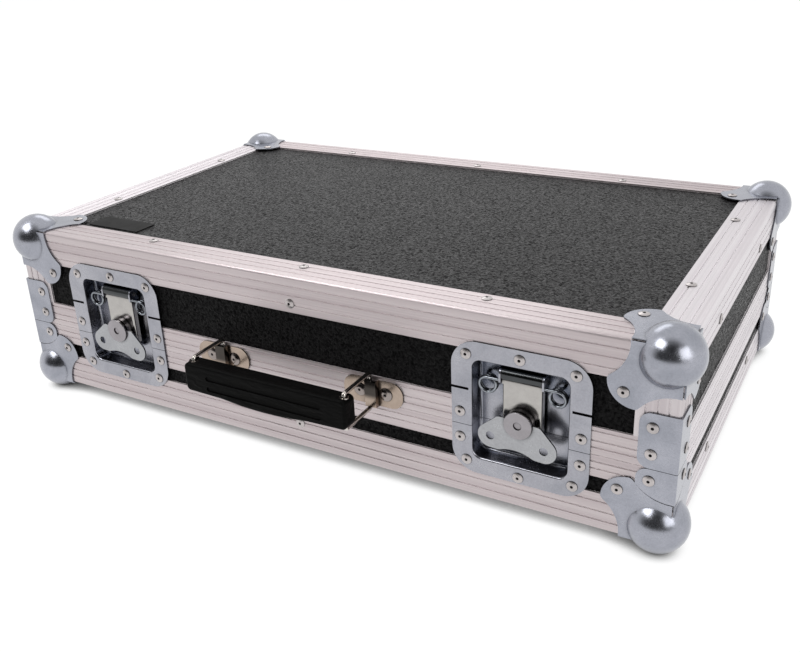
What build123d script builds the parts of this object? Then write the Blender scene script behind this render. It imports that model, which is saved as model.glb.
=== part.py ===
"""A small flight case for a lighting console.

Black laminated panels are held in aluminium edge angles. Two grooved rims meet at the parting line,
and the lid turns on two rear hinges. Two recessed butterfly latches and a folding handle are on the
front, and pressed steel ball corners carry the case.

Units are millimetres. X runs along the front from left to right, Y from the front to the rear and
Z up. The origin lies on the floor, under the middle of the object's outer box.
"""
import math
import os

from build123d import *

# Outer size of the case, without its corners and handle
case_width = 604.0
case_depth = 370.0
case_height = 151.6
base_height = 60.0
lid_gap = 0.4

# Panels and edge angles
panel_thickness = 6.5
angle_leg = 30.0
angle_thickness = 1.6
angle_bend = 2.4
groove_places = (8.0, 15.5, 23.4)
groove_width = 1.1
groove_depth = 0.7

# Rims at the parting line
lid_rim_height = 22.0
base_rim_height = 17.0
rim_skin = 1.6
rim_inner_height = 16.0
rim_web = 6.0
panel_slot_play = 0.1
tongue_width = 2.0
tongue_height = 3.0
tongue_offset = 4.3
tongue_play_across = 1.0
tongue_play_above = 0.8
lid_rim_groove_shares = (0.27, 0.52, 0.86)
base_rim_groove_shares = (0.3, 0.62)

# Pressed steel corners
steel_sheet = 1.2
ball_radius = 22.2
ball_inset = 11.8
ball_sheet = 1.5
ball_flat = 0.5
leg_slit = 0.4
leg_on_edge = 35.5
leg_corner_far = 49.5
leg_corner_near = 28.5
leg_end_diagonal = 43.9
leg_bow_place = 0.55
leg_bow_rise = 2.8
leg_corner_round = 4.0
leg_rivet_place = 38.2
brace_width = 26.5
lid_brace_height = 41.8
brace_corner_round = 8.0
brace_bend = 1.0
brace_rivet_in = 17.4
lid_brace_rivets_up = (11.3, 31.6)
base_brace_rivet_down = 9.2
corner_play = 0.6

# Blind rivets
rivet_head_radius = 4.0
rivet_head_height = 1.3
rivet_rim_height = 0.5
rivet_shank_radius = 2.0
rivet_hole_play = 0.05
rivet_hole_reach = 3.0
rivet_core_radius = 1.15
rivet_core_depth = 1.1
rivet_dome_across = 0.62
rivet_dome_up = 0.86

# Edge rivets, measured from the case's middle and from its edges
top_rivet_spacing = 156.5
side_rivet_spacing = 160.0
edge_rivet_in = 22.5

# Recessed latch dishes
latch_from_side = 110.5
dish_width = 104.5
dish_above_parting = 68.3
dish_below_parting = 39.0
dish_corner_round = 20.0
pan_width = 72.5
pan_above_parting = 53.9
pan_below_parting = 25.4
pan_corner_round = 7.0
pan_depth = 13.0
pan_edge_round = 1.6
pan_floor_round = 2.5
pan_window_play = 1.5
pan_window_margin = 1.0
slot_length = 13.5
slot_height = 2.0
slot_above_parting = 30.0
dish_corner_rivet_in = 11.6
dish_top_rivet_down = 10.4
dish_middle_rivet_down = 7.3
dish_side_rivet_in = 6.6
dish_side_rivet_from_parting = 10.6
dish_bottom_rivet_up = 9.9
dish_bottom_middle_up = 5.0

# Latch arm, its hinge and its springs; depths are measured inwards from the case's front face
arm_width = 30.0
arm_sheet = 1.5
arm_face_depth = 4.0
arm_bottom_above_parting = -2.0
arm_flange_depth = 9.5
arm_flange_top_below_hinge = 7.0
hinge_above_parting = 44.3
hinge_pin_depth = 7.2
hinge_barrel_radius = 5.4
latch_pin_radius = 2.0
latch_pin_play = 0.05
ear_gap = 0.4
ear_thickness = 1.5
arm_bend = 2.0
arm_inner_bend = 0.5
arm_plate_into_barrel = 3.0

# Butterfly wing and its stud
stud_above_parting = 10.4
wing_lobe_across = 20.4
wing_lobe_down = 15.2
wing_lobe_radius = 9.6
wing_hole_radius = 3.3
wing_shoulder_across = 18.3
wing_shoulder_round = 3.8
wing_top_above_stud = 2.4
wing_waist_up = 3.2
wing_waist_width = 27.0
wing_waist_round = 8.0
wing_tilt = 4.0
wing_rear_depth = -0.8
wing_thickness = 1.4
cap_radius = 10.6
cap_thickness = 1.8
cap_edge_round = 0.4
cap_mark_radius = 3.2
cap_mark_depth = 0.9
hub_radius = 5.5
collar_radius = 10.6
collar_gap = 0.1
stud_radius = 4.0
stud_play = 0.05
stud_end_play = 0.3
cam_offset = 3.0
cam_radius = 6.0
cam_head_radius = 7.5
cam_head_thickness = 1.0

# Claw behind the arm, and the catch that it pulls up on
claw_gap = 0.5
claw_thickness = 1.5
claw_width = 24.0
claw_top_above_stud = 16.0
claw_tip_below_parting = 10.0
claw_nib_height = 1.8
claw_nib_reach = 2.3
claw_slot_play = 0.9
cam_side_play = 0.3
catch_width = 20.0
catch_top_below_parting = 1.0
catch_ledge_below_parting = 7.2
catch_sheet = 1.5
catch_reach = 2.5

# Latch springs
spring_across = 26.2
spring_below_hinge = 10.0
spring_mean_radius = 6.1
spring_wire_radius = 1.1
spring_pitch = 2.85
spring_turns = 2
spring_front_depth = 2.9
spring_tail_bend = 2.2
spring_gap_samples = 240

# Handle on the lid's front rim
handle_spacing = 144.7
handle_above_parting = 9.0
plate_length = 52.0
plate_height = 22.0
plate_corner_round = 10.0
arch_width = 11.5
arch_top_width = 9.5
arch_rise = 5.6
handle_rivet_across = 11.4
handle_rivet_radius = 5.3
handle_rivet_height = 1.6
ring_wire_radius = 1.75
ring_spacing = 141.0
ring_height = 29.45
ring_lift = 1.5
ring_pivot_reach = 2.2
ring_reach = 36.5
ring_inner_round = 3.0
ring_outer_round = 2.0
grip_depth = 15.0
grip_overhang = 4.8
grip_top_above_ring = 12.6
grip_end_below_ring = 11.7
grip_middle_below_ring = 15.3
grip_quarter_below_ring = 12.6
grip_quarter_in = 36.0
grip_quarter_round = 60.0
grip_corner_round = 4.0
grip_edge_round = 2.2
grip_groove_length = 108.0
grip_groove_height = 4.0
grip_groove_spacing = 9.0
grip_groove_below_ring = 1.6
grip_groove_depth = 0.9
grip_pivot_play = 0.05
grip_open_pivot_play = 0.3
fitting_radius = 3.8
fitting_thickness = 0.8
fitting_play = 0.6
fitting_seat_play = 0.05

# Rear hinges
case_hinge_spacing = 360.0
case_hinge_width = 60.0
case_hinge_leaf_height = 26.0
case_hinge_sheet = 1.5
case_hinge_pin_radius = 2.0
case_hinge_pin_play = 0.05
case_hinge_knuckle_radius = 4.0
case_hinge_offset = 4.5
case_hinge_knuckles = 5
case_hinge_knuckle_gap = 0.3
case_hinge_rivet_across = 19.0
case_hinge_rivet_out = 16.0

# Foam lining
foam_thickness = 12.0
foam_floor_thickness = 10.0
foam_play = 0.3
foam_from_parting = 1.5
foam_pan_play = 3.0

# Bare label plate on the lid's top
label_length = 59.0
label_width = 24.0
label_thickness = 0.8
label_from_left = 82.3
label_from_front = 48.6
label_corner_round = 2.0

# How close two places count as the same one
same_place = 0.01

# Places of the main faces
ball_proud = ball_radius - ball_inset
grip_reach = ring_pivot_reach + ring_reach + grip_depth / 2
front_face = (grip_reach - ball_proud - case_depth) / 2
rear_face = front_face + case_depth
case_middle = (front_face + rear_face) / 2
side_face = case_width / 2
bottom_face = ball_proud - ball_flat
top_face = bottom_face + case_height
parting = bottom_face + base_height
lid_edge = parting + lid_gap
panel_face = angle_thickness
panel_back = angle_thickness + panel_thickness
rim_back = panel_back + panel_slot_play + rim_skin
latch_x = side_face - latch_from_side
latch_places = {"left": -latch_x, "right": latch_x}
middle_plane = Plane(origin=(0, case_middle, 0), x_dir=(1, 0, 0), z_dir=(0, 1, 0))

os.makedirs("parts", exist_ok=True)


def save(builder, name):
    """Label one finished node and write its STEP file."""
    builder.part.label = name
    export_step(builder.part, f"parts/{name}.step")


def front_plane(depth=0.0):
    """Plane parallel to the front, facing the viewer, depth inwards from the front face."""
    return Plane(origin=(0, front_face + depth, 0), x_dir=(1, 0, 0), z_dir=(0, -1, 0))


def rear_plane(depth=0.0):
    """Plane parallel to the rear, facing backwards, depth inwards from the rear face."""
    return Plane(origin=(0, rear_face - depth, 0), x_dir=(-1, 0, 0), z_dir=(0, 1, 0))


def right_plane(depth=0.0):
    """Plane parallel to the right side, facing right, with its x axis along Y."""
    return Plane(origin=(side_face - depth, 0, 0), x_dir=(0, 1, 0), z_dir=(1, 0, 0))


def left_plane(depth=0.0):
    """Plane parallel to the left side, facing left, with its x axis against Y."""
    return Plane(origin=(-side_face + depth, 0, 0), x_dir=(0, -1, 0), z_dir=(-1, 0, 0))


def top_plane(depth=0.0):
    """Plane parallel to the top, facing up, depth below the top face."""
    return Plane.XY.offset(top_face - depth)


def bottom_plane(depth=0.0):
    """Plane parallel to the bottom, facing down, depth above the bottom face."""
    return Plane(origin=(0, 0, bottom_face + depth), x_dir=(1, 0, 0), z_dir=(0, 0, -1))


def on(plane, *points):
    """Locations at points on a plane, with their z axes along the plane's normal."""
    return [plane.location * Location((x, y, 0)) for x, y in points]


def box_between(low, high):
    """A plain box between two opposite corners."""
    size = [b - a for a, b in zip(low, high)]
    with BuildPart() as block:
        with Locations(low):
            Box(*size, align=(Align.MIN, Align.MIN, Align.MIN))
    return block.part


# Rivets


def make_rivet(head_radius, head_height, rim_height, shank_length):
    """A blind rivet, head up, seated at the origin, with its pulled core open at the top."""
    with BuildPart() as body:
        with BuildSketch(Plane.XZ):
            with BuildLine():
                Polyline(
                    (0, -shank_length),
                    (rivet_shank_radius, -shank_length),
                    (rivet_shank_radius, 0),
                    (head_radius, 0),
                    (head_radius, rim_height),
                )
                ThreePointArc(
                    (head_radius, rim_height),
                    (head_radius * rivet_dome_across, head_height * rivet_dome_up),
                    (rivet_core_radius, head_height),
                )
                Polyline(
                    (rivet_core_radius, head_height),
                    (rivet_core_radius, head_height - rivet_core_depth),
                    (0, head_height - rivet_core_depth),
                    (0, -shank_length),
                )
            make_face()
        revolve(axis=Axis.Z)
    return body.part


def make_hole_cutter(depth):
    """A cylinder that cuts the hole for a rivet's shank, as deep on both sides."""
    with BuildPart() as body:
        Cylinder(rivet_shank_radius + rivet_hole_play, 2 * depth)
    return body.part


sheet_rivet = make_rivet(rivet_head_radius, rivet_head_height, rivet_rim_height, steel_sheet)
angle_rivet = make_rivet(rivet_head_radius, rivet_head_height, rivet_rim_height, angle_thickness)
hinge_rivet = make_rivet(rivet_head_radius, rivet_head_height, rivet_rim_height, case_hinge_sheet)
handle_rivet = make_rivet(handle_rivet_radius, handle_rivet_height, rivet_rim_height, steel_sheet)
hole_cutter = make_hole_cutter(rivet_hole_reach)


def dish_rivet_points(x):
    """Rivets round one latch dish: those in the lid's half, and those in the base's half."""
    corner_x = dish_width / 2 - dish_corner_rivet_in
    side_x = dish_width / 2 - dish_side_rivet_in
    top_z = parting + dish_above_parting
    bottom_z = parting - dish_below_parting
    upper = [(x + s * corner_x, top_z - dish_top_rivet_down) for s in (-1, 1)]
    upper += [(x + s * side_x, parting + dish_side_rivet_from_parting) for s in (-1, 1)]
    upper.append((x, top_z - dish_middle_rivet_down))
    lower = [(x + s * corner_x, bottom_z + dish_bottom_rivet_up) for s in (-1, 1)]
    lower += [(x + s * side_x, parting - dish_side_rivet_from_parting) for s in (-1, 1)]
    lower.append((x, bottom_z + dish_bottom_middle_up))
    return upper, lower


def corner_rivet_places(lid):
    """Rivets of the four ball corners of the lid or the base."""
    place = leg_rivet_place
    edge_x = side_face - place
    y_front = front_face + place
    y_rear = rear_face - place
    z = top_face - place if lid else bottom_face + place
    across = [(sx * edge_x, z) for sx in (-1, 1)]
    places = on(front_plane(-steel_sheet), *across) + on(rear_plane(-steel_sheet), *across)
    places += on(right_plane(-steel_sheet), (y_front, z), (y_rear, z))
    places += on(left_plane(-steel_sheet), (-y_front, z), (-y_rear, z))
    if lid:
        flat = [(sx * edge_x, y) for sx in (-1, 1) for y in (y_front, y_rear)]
        return places + on(top_plane(-steel_sheet), *flat)
    flat = [(sx * edge_x, -y) for sx in (-1, 1) for y in (y_front, y_rear)]
    return places + on(bottom_plane(-steel_sheet), *flat)


def brace_rivet_places(heights):
    """Rivets of the four corner braces, one on each leg at each height."""
    places = []
    for z in heights:
        x = side_face - brace_rivet_in
        y_front = front_face + brace_rivet_in
        y_rear = rear_face - brace_rivet_in
        places += on(front_plane(-steel_sheet), (-x, z), (x, z))
        places += on(rear_plane(-steel_sheet), (-x, z), (x, z))
        places += on(right_plane(-steel_sheet), (y_front, z), (y_rear, z))
        places += on(left_plane(-steel_sheet), (-y_front, z), (-y_rear, z))
    return places


def angle_rivet_places(lid):
    """Rivets through the four edge angles of the lid or the base."""
    z = top_face - edge_rivet_in if lid else bottom_face + edge_rivet_in
    along_x = [-top_rivet_spacing, 0.0, top_rivet_spacing]
    along_y = [case_middle - side_rivet_spacing / 2, case_middle + side_rivet_spacing / 2]
    places = on(front_plane(), (0.0, z)) + on(rear_plane(), *[(x, z) for x in along_x])
    places += on(right_plane(), *[(y, z) for y in along_y])
    places += on(left_plane(), *[(-y, z) for y in along_y])
    rows = [(x, front_face + edge_rivet_in) for x in along_x]
    rows += [(x, rear_face - edge_rivet_in) for x in along_x]
    rows += [(s * (side_face - edge_rivet_in), y) for s in (-1, 1) for y in along_y]
    if lid:
        return places + on(top_plane(), *rows)
    return places + on(bottom_plane(), *[(x, -y) for x, y in rows])


def hinge_rivet_places(lid):
    """Rivets of the two rear hinge leaves on the lid or the base."""
    z = parting + (case_hinge_rivet_out if lid else -case_hinge_rivet_out)
    xs = [
        s * case_hinge_spacing / 2 + t * case_hinge_rivet_across
        for s in (-1, 1)
        for t in (-1, 0, 1)
    ]
    return on(rear_plane(-case_hinge_sheet), *[(x, z) for x in xs])


dish_rivets_lid = []
dish_rivets_base = []
for x in latch_places.values():
    upper_points, lower_points = dish_rivet_points(x)
    dish_rivets_lid += on(front_plane(-steel_sheet), *upper_points)
    dish_rivets_base += on(front_plane(-steel_sheet), *lower_points)

lid_brace_rivet_z = [parting + up for up in lid_brace_rivets_up]
base_brace_rivet_z = [parting - base_brace_rivet_down]

for name, sheet_places, angle_places, hinge_places in (
    (
        "lid_rivets",
        dish_rivets_lid + corner_rivet_places(True) + brace_rivet_places(lid_brace_rivet_z),
        angle_rivet_places(True),
        hinge_rivet_places(True),
    ),
    (
        "base_rivets",
        dish_rivets_base + corner_rivet_places(False) + brace_rivet_places(base_brace_rivet_z),
        angle_rivet_places(False),
        hinge_rivet_places(False),
    ),
):
    with BuildPart() as rivets:
        with Locations(*sheet_places):
            add(sheet_rivet)
        with Locations(*angle_places):
            add(angle_rivet)
        with Locations(*hinge_places):
            add(hinge_rivet)
    save(rivets, name)


# Panels

pan_window = pan_width / 2 + steel_sheet + pan_window_play


def window_cutters(low_z, high_z):
    """Blocks that cut the openings for the two latch pans."""
    return [
        box_between(
            (x - pan_window, front_face - pan_window_margin, low_z),
            (x + pan_window, front_face + rim_back + pan_window_margin, high_z),
        )
        for x in latch_places.values()
    ]


pan_bottom = parting - pan_below_parting
pan_top = parting + pan_above_parting
window_low = pan_bottom - steel_sheet - pan_window_play
window_high = pan_top + steel_sheet + pan_window_play
pan_windows = window_cutters(window_low, window_high)


def make_panel(low, high, name, cutters=()):
    """One flat laminated panel, with its window cut-outs if it has any."""
    with BuildPart() as panel:
        add(box_between(low, high))
        for cutter in cutters:
            add(cutter, mode=Mode.SUBTRACT)
    save(panel, name)


def make_side_panels(low_z, high_z, name):
    """The left and right panels, between the front and rear ones."""
    with BuildPart() as panels:
        add(
            box_between(
                (side_face - panel_back, front_face + panel_back, low_z),
                (side_face - panel_face, rear_face - panel_back, high_z),
            )
        )
        mirror(about=Plane.YZ)
    save(panels, name)


inner_x = side_face - panel_face
base_wall_low = bottom_face + panel_back
base_wall_high = parting - rim_web
lid_wall_low = parting + rim_web
lid_wall_high = top_face - panel_back

make_panel(
    (-inner_x, front_face + panel_face, bottom_face + panel_face),
    (inner_x, rear_face - panel_face, bottom_face + panel_back),
    "base_floor_panel",
)
make_panel(
    (-inner_x, front_face + panel_face, top_face - panel_back),
    (inner_x, rear_face - panel_face, top_face - panel_face),
    "lid_top_panel",
)
for name, low_z, high_z in (
    ("base", base_wall_low, base_wall_high),
    ("lid", lid_wall_low, lid_wall_high),
):
    make_panel(
        (-inner_x, front_face + panel_face, low_z),
        (inner_x, front_face + panel_back, high_z),
        name + "_front_panel",
        pan_windows,
    )
    make_panel(
        (-inner_x, rear_face - panel_back, low_z),
        (inner_x, rear_face - panel_face, high_z),
        name + "_rear_panel",
    )
    make_side_panels(low_z, high_z, name + "_side_panels")


# Extruded edges


def angle_profile():
    """Section of the edge angle, its outer bend at the origin and its legs along +x and +y."""
    with BuildSketch() as profile:
        with BuildLine():
            Polyline(
                (0, 0),
                (angle_leg, 0),
                (angle_leg, angle_thickness),
                (angle_thickness, angle_thickness),
                (angle_thickness, angle_leg),
                (0, angle_leg),
                (0, 0),
            )
        make_face()
        fillet(profile.vertices().sort_by_distance((0, 0))[0], angle_bend)
        with Locations(*[(place, 0) for place in groove_places]):
            Rectangle(groove_width, 2 * groove_depth, mode=Mode.SUBTRACT)
        with Locations(*[(0, place) for place in groove_places]):
            Rectangle(2 * groove_depth, groove_width, mode=Mode.SUBTRACT)
    return profile.sketch


def lid_rim_profile():
    """Section of the lid's rim: x inwards from the outer face, y up from the parting line."""
    groove_low = tongue_offset - tongue_play_across
    groove_high = tongue_offset + tongue_width + tongue_play_across
    groove_top = tongue_height + tongue_play_above
    with BuildSketch() as profile:
        with BuildLine():
            Polyline(
                (0, lid_gap),
                (groove_low, lid_gap),
                (groove_low, groove_top),
                (groove_high, groove_top),
                (groove_high, lid_gap),
                (rim_back, lid_gap),
                (rim_back, rim_inner_height),
                (rim_back - rim_skin, rim_inner_height),
                (rim_back - rim_skin, rim_web),
                (rim_skin, rim_web),
                (rim_skin, lid_rim_height),
                (0, lid_rim_height),
                (0, lid_gap),
            )
        make_face()
        with Locations(*[(0, lid_rim_height * share) for share in lid_rim_groove_shares]):
            Rectangle(2 * groove_depth, groove_width, mode=Mode.SUBTRACT)
    return profile.sketch


def base_rim_profile():
    """Section of the base's rim, with the tongue that locates the lid."""
    with BuildSketch() as profile:
        with BuildLine():
            Polyline(
                (0, 0),
                (tongue_offset, 0),
                (tongue_offset, tongue_height),
                (tongue_offset + tongue_width, tongue_height),
                (tongue_offset + tongue_width, 0),
                (rim_back, 0),
                (rim_back, -rim_inner_height),
                (rim_back - rim_skin, -rim_inner_height),
                (rim_back - rim_skin, -rim_web),
                (rim_skin, -rim_web),
                (rim_skin, -base_rim_height),
                (0, -base_rim_height),
                (0, 0),
            )
        make_face()
        with Locations(*[(0, -base_rim_height * share) for share in base_rim_groove_shares]):
            Rectangle(2 * groove_depth, groove_width, mode=Mode.SUBTRACT)
    return profile.sketch


def mitred_bar(profile, length):
    """A bar along X in the middle of the origin, its outer face at y = 0, mitred at both ends."""
    section = Plane(origin=(-length / 2, 0, 0), x_dir=(0, 1, 0), z_dir=(1, 0, 0))
    with BuildPart() as bar:
        with BuildSketch(section):
            add(profile)
        extrude(amount=length)
        for side in (-1, 1):
            end = Plane(origin=(side * length / 2, 0, 0), x_dir=(0, 0, 1), z_dir=(side, 1, 0))
            split(bisect_by=end, keep=Keep.BOTTOM)
    return bar.part


def bar_locations(z):
    """Where a mitred bar goes for the front, rear, left and right edges at a height."""
    return {
        "front": [Location((0, front_face, z))],
        "rear": [Location((0, rear_face, z), (0, 0, 180))],
        "side": [
            Location((-side_face, case_middle, z), (0, 0, -90)),
            Location((side_face, case_middle, z), (0, 0, 90)),
        ],
    }


def make_edge_bars(profile, z, upside_down, part_of_case, kind, rivets=(), front_cutters=()):
    """The front, rear and side bars of one frame, drilled for rivets or cut for the latch pans."""
    for edge, places in bar_locations(z).items():
        bar = mitred_bar(profile, case_depth if edge == "side" else case_width)
        if upside_down:
            bar = mirror(bar, about=Plane.XY)
        with BuildPart() as frame_bar:
            with Locations(*places):
                add(bar)
            if edge == "front":
                for cutter in front_cutters:
                    add(cutter, mode=Mode.SUBTRACT)
            if rivets:
                with Locations(*rivets):
                    add(hole_cutter, mode=Mode.SUBTRACT)
        plural = "s" if edge == "side" else ""
        save(frame_bar, f"{part_of_case}_{edge}_{kind}{plural}")


make_edge_bars(angle_profile(), top_face, True, "lid", "angle", angle_rivet_places(True))
make_edge_bars(angle_profile(), bottom_face, False, "base", "angle", angle_rivet_places(False))
make_edge_bars(lid_rim_profile(), parting, False, "lid", "rim", front_cutters=pan_windows)
make_edge_bars(base_rim_profile(), parting, False, "base", "rim", front_cutters=pan_windows)


def make_corner_angles(low_z, high_z, name):
    """The four upright angles between the edge angles and the rim."""
    with BuildPart() as uprights:
        with BuildSketch(Plane(origin=(-side_face, front_face, low_z))):
            add(angle_profile())
        extrude(amount=high_z - low_z)
        mirror(about=Plane.YZ)
        mirror(about=middle_plane)
    save(uprights, name)


make_corner_angles(bottom_face + angle_leg, parting - base_rim_height, "base_corner_angles")
make_corner_angles(parting + lid_rim_height, top_face - angle_leg, "lid_corner_angles")


# Ball corners and braces


def leg_outline(play, slit):
    """Outline of one leg of a ball corner, drawn from the case's corner along +x and +y.

    play widens it all round, and slit is the free strip along the two edges of the case.
    """
    edge = leg_on_edge + play
    far = leg_corner_far + play
    near = leg_corner_near + play
    diagonal = leg_end_diagonal + play
    bow_x = near * leg_bow_place
    bow_y = edge + leg_bow_rise
    with BuildSketch() as outline:
        with BuildLine():
            Polyline((edge, slit), (slit, slit), (slit, edge))
            ThreePointArc((slit, edge), (bow_x, bow_y), (near, far))
            ThreePointArc((near, far), (diagonal, diagonal), (far, near))
            ThreePointArc((far, near), (bow_y, bow_x), (edge, slit))
        make_face()
        tips = outline.vertices().sort_by_distance((far, far))[:2]
        fillet(tips, leg_corner_round)
    return outline.sketch


steel_leg = leg_outline(0.0, leg_slit)


def make_ball_corner():
    """The ball corner of the left front bottom, with the case's corner at the origin."""
    octant = box_between((0, 0, 0), (2 * leg_corner_far,) * 3)
    with BuildPart() as corner:
        for plane in (
            Plane(origin=(0, 0, 0), x_dir=(1, 0, 0), z_dir=(0, 0, 1)),
            Plane(origin=(0, 0, 0), x_dir=(0, 1, 0), z_dir=(1, 0, 0)),
            Plane(origin=(0, 0, 0), x_dir=(0, 0, 1), z_dir=(0, 1, 0)),
        ):
            with BuildSketch(plane):
                add(steel_leg)
                with Locations((leg_rivet_place, leg_rivet_place)):
                    Circle(rivet_shank_radius + rivet_hole_play, mode=Mode.SUBTRACT)
            extrude(amount=-steel_sheet)
        with Locations((ball_inset, ball_inset, ball_inset)):
            Sphere(ball_radius)
            Sphere(ball_radius - ball_sheet, mode=Mode.SUBTRACT)
        add(octant, mode=Mode.SUBTRACT)
    return corner.part


ball_corner = make_ball_corner()

upper_ball_corner = mirror(ball_corner, about=Plane.XY)
floor_slab = box_between((-2 * side_face, -case_depth, -ball_radius), (0, case_depth, 0))

with BuildPart() as base_ball_corners:
    with Locations((-side_face, front_face, bottom_face)):
        add(ball_corner)
    add(floor_slab, mode=Mode.SUBTRACT)
    mirror(about=Plane.YZ)
    mirror(about=middle_plane)
save(base_ball_corners, "base_ball_corners")

with BuildPart() as lid_ball_corners:
    with Locations((-side_face, front_face, top_face)):
        add(upper_ball_corner)
    mirror(about=Plane.YZ)
    mirror(about=middle_plane)
save(lid_ball_corners, "lid_ball_corners")


def make_brace_leg(plane, start, across, low_z, high_z, rivet_heights, rounded):
    """One leg of the brace on the left front upright, from start to the leg's width."""
    with BuildPart() as leg:
        with BuildSketch(plane) as face:
            with Locations((across * (start + brace_width) / 2, (low_z + high_z) / 2)):
                Rectangle(brace_width - start, high_z - low_z)
            outer = face.vertices().sort_by(Axis.X)
            outer = outer[-2:] if across > 0 else outer[:2]
            fillet(outer if rounded else outer.sort_by(Axis.Y)[-1], brace_corner_round)
            with Locations(*[(across * brace_rivet_in, z) for z in rivet_heights]):
                Circle(rivet_shank_radius + rivet_hole_play, mode=Mode.SUBTRACT)
        extrude(amount=steel_sheet)
        if not rounded:
            with BuildSketch(plane):
                with Locations((0, bottom_face)):
                    add(wide_legs[across])
            extrude(amount=steel_sheet, mode=Mode.SUBTRACT)
    return leg.part


wide_leg = leg_outline(corner_play, 0.0)
wide_legs = {1: wide_leg, -1: mirror(wide_leg, about=Plane.YZ)}


def make_braces(low_z, high_z, rivet_heights, rounded, name):
    """Four pressed braces round the upright edges, from one height to another."""
    front_leg_plane = Plane(origin=(-side_face, front_face, 0), x_dir=(1, 0, 0), z_dir=(0, -1, 0))
    side_leg_plane = Plane(origin=(-side_face, front_face, 0), x_dir=(0, -1, 0), z_dir=(-1, 0, 0))
    heights = (low_z, high_z, rivet_heights, rounded)
    front_leg = make_brace_leg(front_leg_plane, -steel_sheet, 1, *heights)
    side_leg = make_brace_leg(side_leg_plane, 0.0, -1, *heights)
    with BuildPart() as braces:
        add(front_leg)
        add(side_leg)
        outer_corner = (-side_face - steel_sheet, front_face - steel_sheet, (low_z + high_z) / 2)
        fillet(braces.edges().filter_by(Axis.Z).sort_by_distance(outer_corner)[0], brace_bend)
        mirror(about=Plane.YZ)
        mirror(about=middle_plane)
    save(braces, name)


base_brace_low = bottom_face + leg_on_edge + corner_play
lid_brace_high = lid_edge + lid_brace_height
make_braces(lid_edge, lid_brace_high, lid_brace_rivet_z, True, "lid_corner_braces")
make_braces(base_brace_low, parting, base_brace_rivet_z, False, "base_corner_braces")


# Latch dishes


def make_whole_dish(x):
    """The flange and pan of one latch, before it is cut at the parting line."""
    flange_low = parting - dish_below_parting
    flange_high = parting + dish_above_parting
    pan_middle = (pan_bottom + pan_top) / 2
    pan_high = pan_top - pan_bottom
    upper_points, lower_points = dish_rivet_points(x)
    with BuildPart() as dish:
        with BuildSketch(front_plane()):
            with Locations((x, (flange_low + flange_high) / 2)):
                RectangleRounded(dish_width, flange_high - flange_low, dish_corner_round)
        extrude(amount=steel_sheet)
        with BuildSketch(front_plane()):
            with Locations((x, pan_middle)):
                RectangleRounded(
                    pan_width + 2 * steel_sheet,
                    pan_high + 2 * steel_sheet,
                    pan_corner_round + steel_sheet,
                )
        extrude(amount=-(pan_depth + steel_sheet))
        fillet(dish.faces().sort_by(Axis.Y)[-1].edges(), pan_floor_round + steel_sheet)
        with BuildSketch(front_plane(-steel_sheet)):
            with Locations((x, pan_middle)):
                RectangleRounded(pan_width, pan_high, pan_corner_round)
        extrude(amount=-(pan_depth + steel_sheet), mode=Mode.SUBTRACT)
        floor = dish.faces().filter_by(Axis.Y).sort_by(Axis.Y)[-2]
        fillet(floor.edges(), pan_floor_round)
        front = dish.faces().filter_by(Axis.Y).sort_by(Axis.Y)[0]
        fillet(front.inner_wires()[0].edges(), pan_edge_round)
        with BuildSketch(front_plane(-steel_sheet)):
            with Locations(*(upper_points + lower_points)):
                Circle(rivet_shank_radius + rivet_hole_play)
            slot_x = (dish_width - slot_length) / 2
            with Locations(*[(x + s * slot_x, parting + slot_above_parting) for s in (-1, 1)]):
                Rectangle(slot_length, slot_height)
        extrude(amount=-2 * steel_sheet, mode=Mode.SUBTRACT)
    return dish.part


hinge_z = parting + hinge_above_parting
stud_z = parting + stud_above_parting


def side_view(x):
    """Plane across X whose axes are the world's Y and Z."""
    return Plane(origin=(x, 0, 0), x_dir=(0, 1, 0), z_dir=(1, 0, 0))


def make_ear(x):
    """The ear that holds one end of the arm's hinge pin, starting at x."""
    reach = pan_depth - hinge_pin_depth
    quarter = hinge_barrel_radius / 2
    with BuildPart() as ear:
        with BuildSketch(side_view(x)):
            with Locations((front_face + hinge_pin_depth, hinge_z)):
                Circle(hinge_barrel_radius)
                with Locations((reach / 2, 0)):
                    Rectangle(reach, 2 * hinge_barrel_radius)
                with Locations((-quarter, -quarter)):
                    Rectangle(hinge_barrel_radius, hinge_barrel_radius)
                Circle(latch_pin_radius, mode=Mode.SUBTRACT)
        extrude(amount=ear_thickness)
    return ear.part


far = case_width
below_parting = box_between((-far, -far, -far), (far, far, lid_edge))
above_parting = box_between((-far, -far, parting), (far, far, far))

for side, x in latch_places.items():
    whole_dish = make_whole_dish(x)
    with BuildPart() as latch_dish:
        add(whole_dish)
        add(below_parting, mode=Mode.SUBTRACT)
        for ear_side in (-1, 1):
            ear_middle = arm_width / 2 + ear_gap + ear_thickness / 2
            add(make_ear(x + ear_side * ear_middle - ear_thickness / 2))
    save(latch_dish, side + "_latch_dish")
    with BuildPart() as catch_dish:
        add(whole_dish)
        add(above_parting, mode=Mode.SUBTRACT)
    save(catch_dish, side + "_catch_dish")

with BuildPart() as catch_plates:
    catch_top = parting - catch_top_below_parting
    ledge = parting - catch_ledge_below_parting
    floor_y = front_face + pan_depth
    for x in latch_places.values():
        half = catch_width / 2
        add(box_between((x - half, floor_y - catch_sheet, ledge), (x + half, floor_y, catch_top)))
        add(
            box_between(
                (x - half, floor_y - catch_reach, ledge),
                (x + half, floor_y - catch_sheet, ledge + catch_sheet),
            )
        )
save(catch_plates, "catch_plates")

pin_half = arm_width / 2 + ear_gap + ear_thickness
with BuildPart() as latch_hinge_pins:
    for x in latch_places.values():
        with BuildSketch(side_view(x - pin_half)):
            with Locations((front_face + hinge_pin_depth, hinge_z)):
                Circle(latch_pin_radius)
        extrude(amount=2 * pin_half)
save(latch_hinge_pins, "latch_hinge_pins")


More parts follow.
